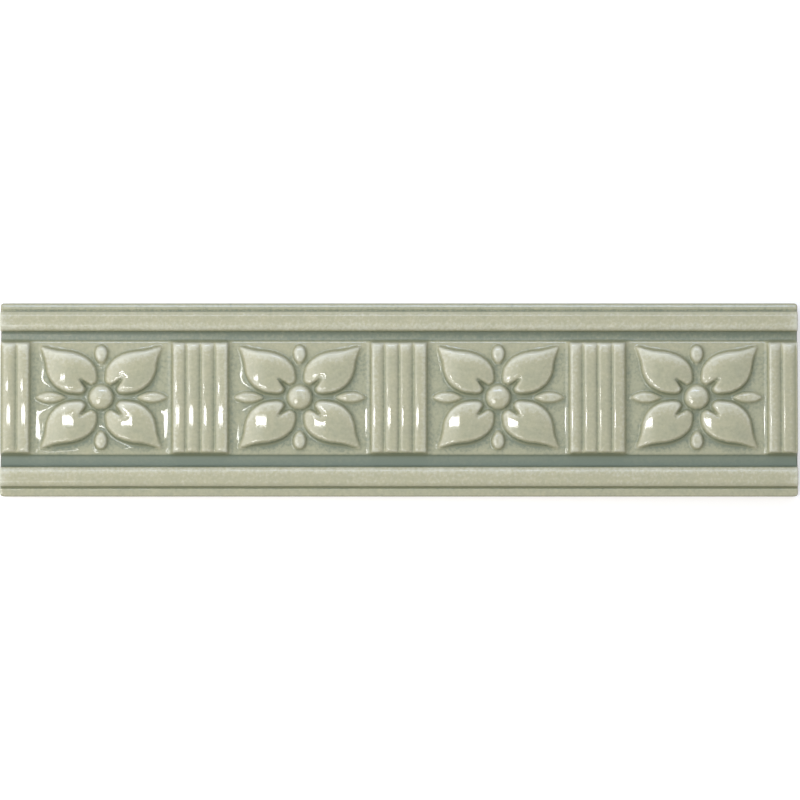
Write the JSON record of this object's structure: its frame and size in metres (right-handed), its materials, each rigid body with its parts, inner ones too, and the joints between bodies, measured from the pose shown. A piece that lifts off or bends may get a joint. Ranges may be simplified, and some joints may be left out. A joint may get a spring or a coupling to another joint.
{
  "type": "border tile",
  "caption": "Pressed ceramic border tile with a frieze of cleft-petalled flowers and reeds between moulded rails, in a glossy sage green glaze, to edge or band a tiled wall.",
  "frame": {"origin": "middle of the back, on the plane that the tile lies or is bedded on", "axes": "+X along the strip, +Y across it, +Z out of the glazed face"},
  "size_m": [0.198, 0.048, 0.0092],
  "materials": {
    "sage_glaze": "glossy translucent sage green glaze, paler on edges and darker where it pools, over a pale fired body that is bare on the back"
  },
  "bodies": {
    "root": {"border_tile": "sage_glaze"}
  },
  "joints": []
}
